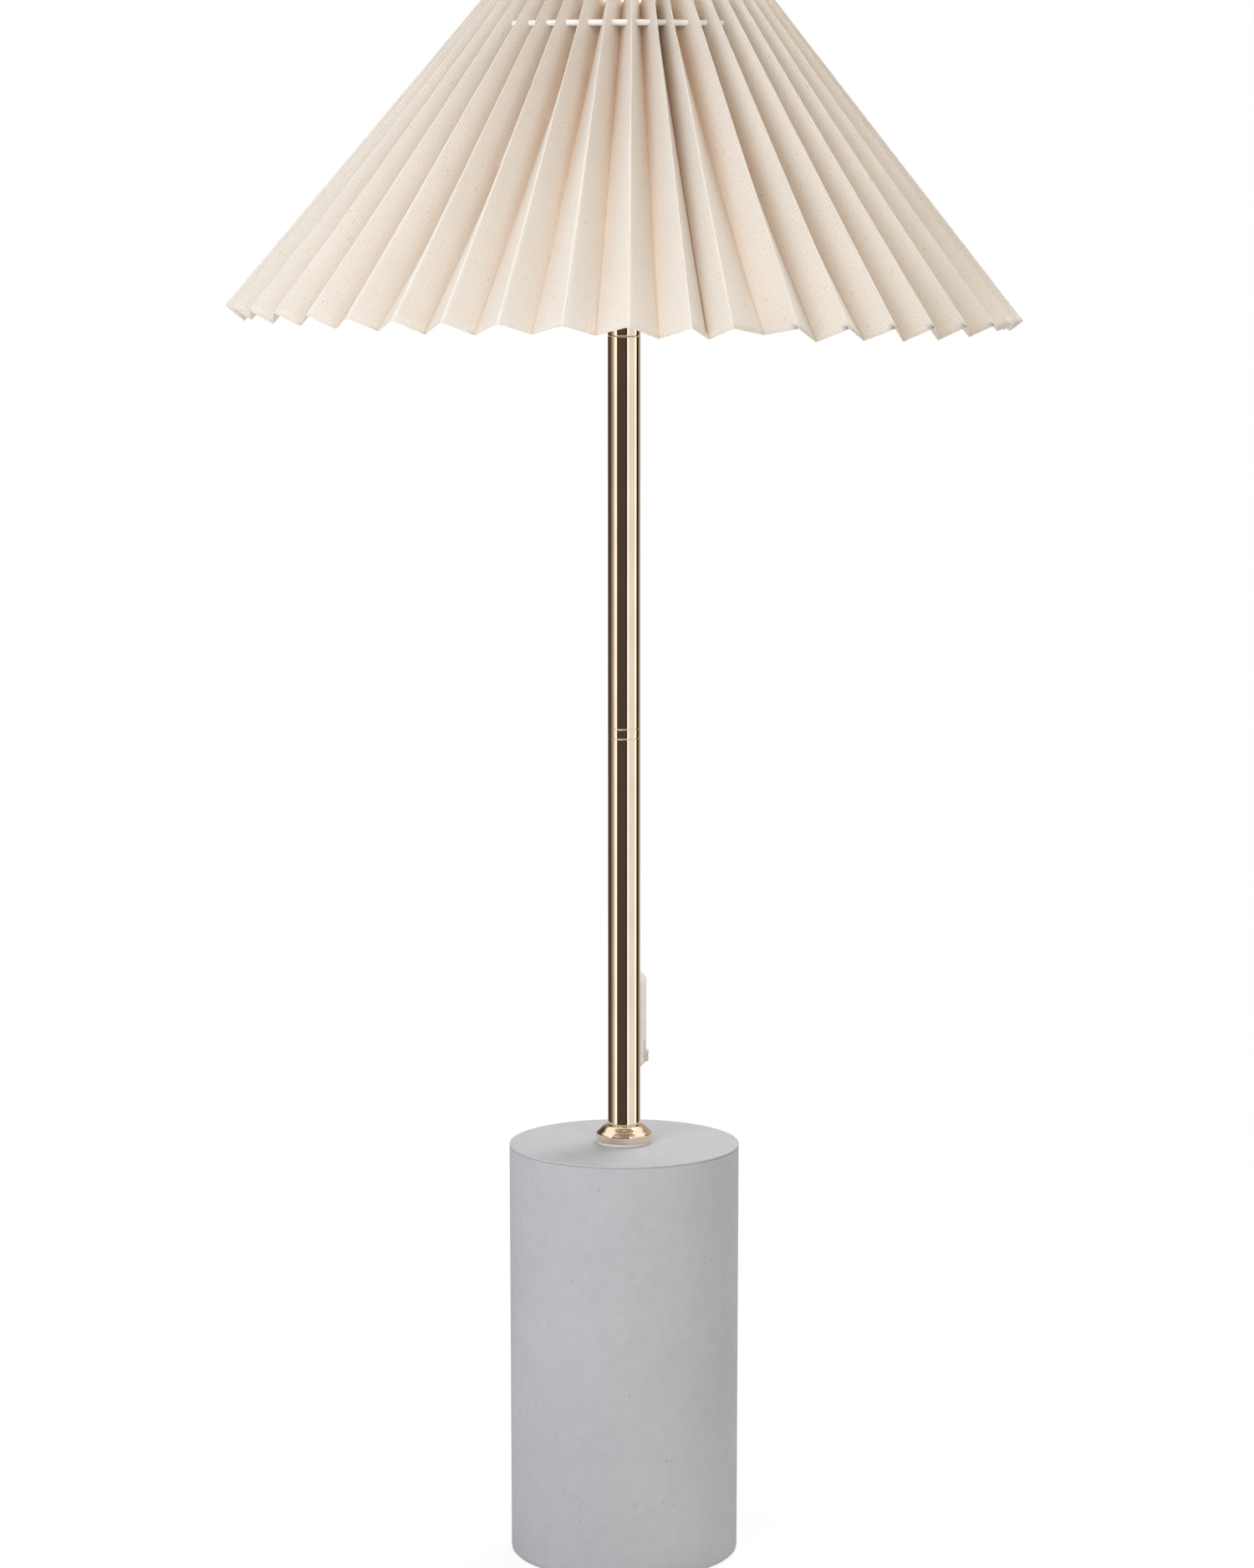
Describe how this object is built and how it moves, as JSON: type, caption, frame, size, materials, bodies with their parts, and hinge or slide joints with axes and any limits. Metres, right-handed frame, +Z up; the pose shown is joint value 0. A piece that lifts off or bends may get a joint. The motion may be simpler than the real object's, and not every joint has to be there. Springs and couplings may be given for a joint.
{
  "type": "table lamp",
  "caption": "Table lamp with a cone shade of pleated linen on a gold tube stem, standing on a tall round concrete base, with a slide switch behind the stem.",
  "frame": {"origin": "centre of the lamp's footprint, where the foam pad meets the table", "axes": "+Z up along the stem; -Y is the front, and the switch and the cord inlet are on the +Y side"},
  "size_m": [0.3886, 0.3886, 0.779],
  "materials": {
    "concrete": "matt, fine-pored cast concrete",
    "gold_metal": "polished and lacquered",
    "linen": "natural linen weave with slubs, backed",
    "white_paint": "gloss white powder coat",
    "white_plastic": "fine satin",
    "grey_plastic": "fine satin, ribbed",
    "black_plastic": "satin",
    "black_rubber": "matt",
    "foam": "closed-cell foam",
    "clear_plastic": "clear, slightly frosted edge",
    "zinc_steel": "bright zinc",
    "plain_brass": "plain turned",
    "ceramic": "unglazed steatite",
    "lead_brown": "extruded",
    "lead_blue": "extruded",
    "bulb_metal": "bright nickel",
    "clear_glass": "clear, polished",
    "filament_yellow": "phosphor coated"
  },
  "bodies": {
    "stand": {"base_block": "concrete", "base_pad": "foam", "base_cover": "black_plastic", "cover_screws": "zinc_steel", "cover_inserts": "plain_brass", "cord_grommet": "black_rubber", "terminal_block": "white_plastic", "terminal_screws": "zinc_steel", "threaded_rod": "zinc_steel", "plate_washer": "zinc_steel", "lock_washer": "zinc_steel", "rod_nut": "zinc_steel", "flange_gasket": "clear_plastic", "base_flange": "gold_metal", "joint_ring": "gold_metal", "neck_ring": "gold_metal", "joint_nipple": "zinc_steel", "neck_nipple": "zinc_steel", "lower_tube_foot_bush": "plain_brass", "lower_tube_head_bush": "plain_brass", "upper_tube_foot_bush": "plain_brass", "upper_tube_head_bush": "plain_brass", "lower_tube": "gold_metal", "upper_tube": "gold_metal", "switch_housing": "white_plastic", "switch_cover": "white_plastic", "switch_cover_screw": "zinc_steel", "housing_screw": "zinc_steel", "feed_contact": "plain_brass", "output_contact": "plain_brass", "holder_cap": "gold_metal", "holder_shell": "gold_metal", "holder_insulator": "ceramic", "holder_terminal_screws": "plain_brass", "screw_shell": "plain_brass", "centre_contact": "plain_brass", "feed_lead": "lead_brown", "output_lead": "lead_brown", "neutral_lead": "lead_blue"},
    "switch_slider": {"switch_button": "grey_plastic", "switch_bridge": "plain_brass"},
    "bulb": {"bulb_tip_contact": "bulb_metal", "bulb_insulator": "black_plastic", "bulb_cap": "bulb_metal", "bulb_glass": "clear_glass", "bulb_stem": "clear_glass", "bulb_filaments": "filament_yellow"},
    "ring_nut": {"shade_ring_nut": "white_plastic"},
    "shade": {"fitter_ring": "white_paint", "carrier_arms": "white_paint", "top_wire_ring": "white_paint", "pleated_shade": "linen"}
  },
  "joints": [
    {"name": "switch_slide", "type": "slide", "parent": "stand", "child": "switch_slider", "axis": [0, 0, 1], "range_m": [0, 0.005]},
    {"name": "bulb_turn", "type": "hinge", "parent": "stand", "child": "bulb", "pos_m": [0, 0, 0.66], "axis": [0, 0, 1], "range_deg": [0, 900]},
    {"name": "ring_nut_turn", "type": "hinge", "parent": "stand", "child": "ring_nut", "pos_m": [0, 0, 0.655], "axis": [0, 0, 1], "range_deg": [0, 720]},
    {"name": "shade_turn", "type": "hinge", "parent": "stand", "child": "shade", "pos_m": [0, 0, 0.655], "axis": [0, 0, 1], "continuous": true}
  ]
}
